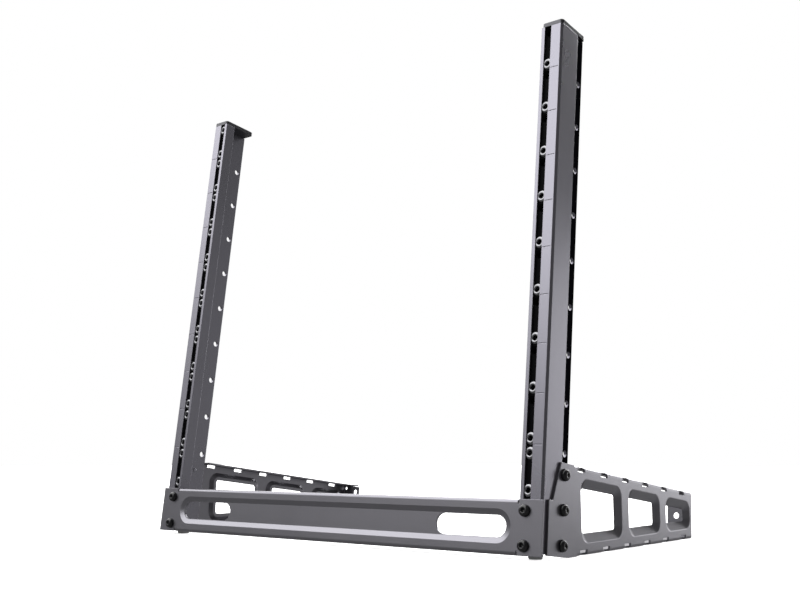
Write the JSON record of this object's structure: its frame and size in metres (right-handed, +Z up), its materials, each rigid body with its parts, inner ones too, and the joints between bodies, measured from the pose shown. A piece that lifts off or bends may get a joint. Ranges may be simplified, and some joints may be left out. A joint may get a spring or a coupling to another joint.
{
  "type": "open desktop equipment rack",
  "caption": "Open desktop rack with two leaning extruded posts, a pressed front beam and two low side plates with flared windows",
  "frame": {"origin": "middle of the footprint, on the surface that the rack stands on", "axes": "+X to the right across the equipment, +Y rearward, +Z up; the equipment goes in from -Y"},
  "size_m": [0.5002, 0.3122, 0.4978],
  "materials": {
    "post_paint": "dark blue-grey semi-gloss powder coat, fine orange peel",
    "cap_paint": "dark blue-grey semi-gloss powder coat, fine orange peel",
    "beam_paint": "dark blue-grey semi-gloss powder coat, fine orange peel",
    "plate_paint": "dark blue-grey semi-gloss powder coat, fine orange peel",
    "strip_steel": "black oxide, threads and countersinks bare",
    "foot_rubber": "matt moulded rubber"
  },
  "bodies": {
    "root": {"front_beam": "beam_paint", "right_post": "post_paint", "left_post": "post_paint", "right_threaded_strip": "strip_steel", "left_threaded_strip": "strip_steel", "right_post_cap": "cap_paint", "left_post_cap": "cap_paint", "right_side_plate": "plate_paint", "left_side_plate": "plate_paint", "right_foot": "foot_rubber", "left_foot": "foot_rubber"}
  },
  "joints": []
}
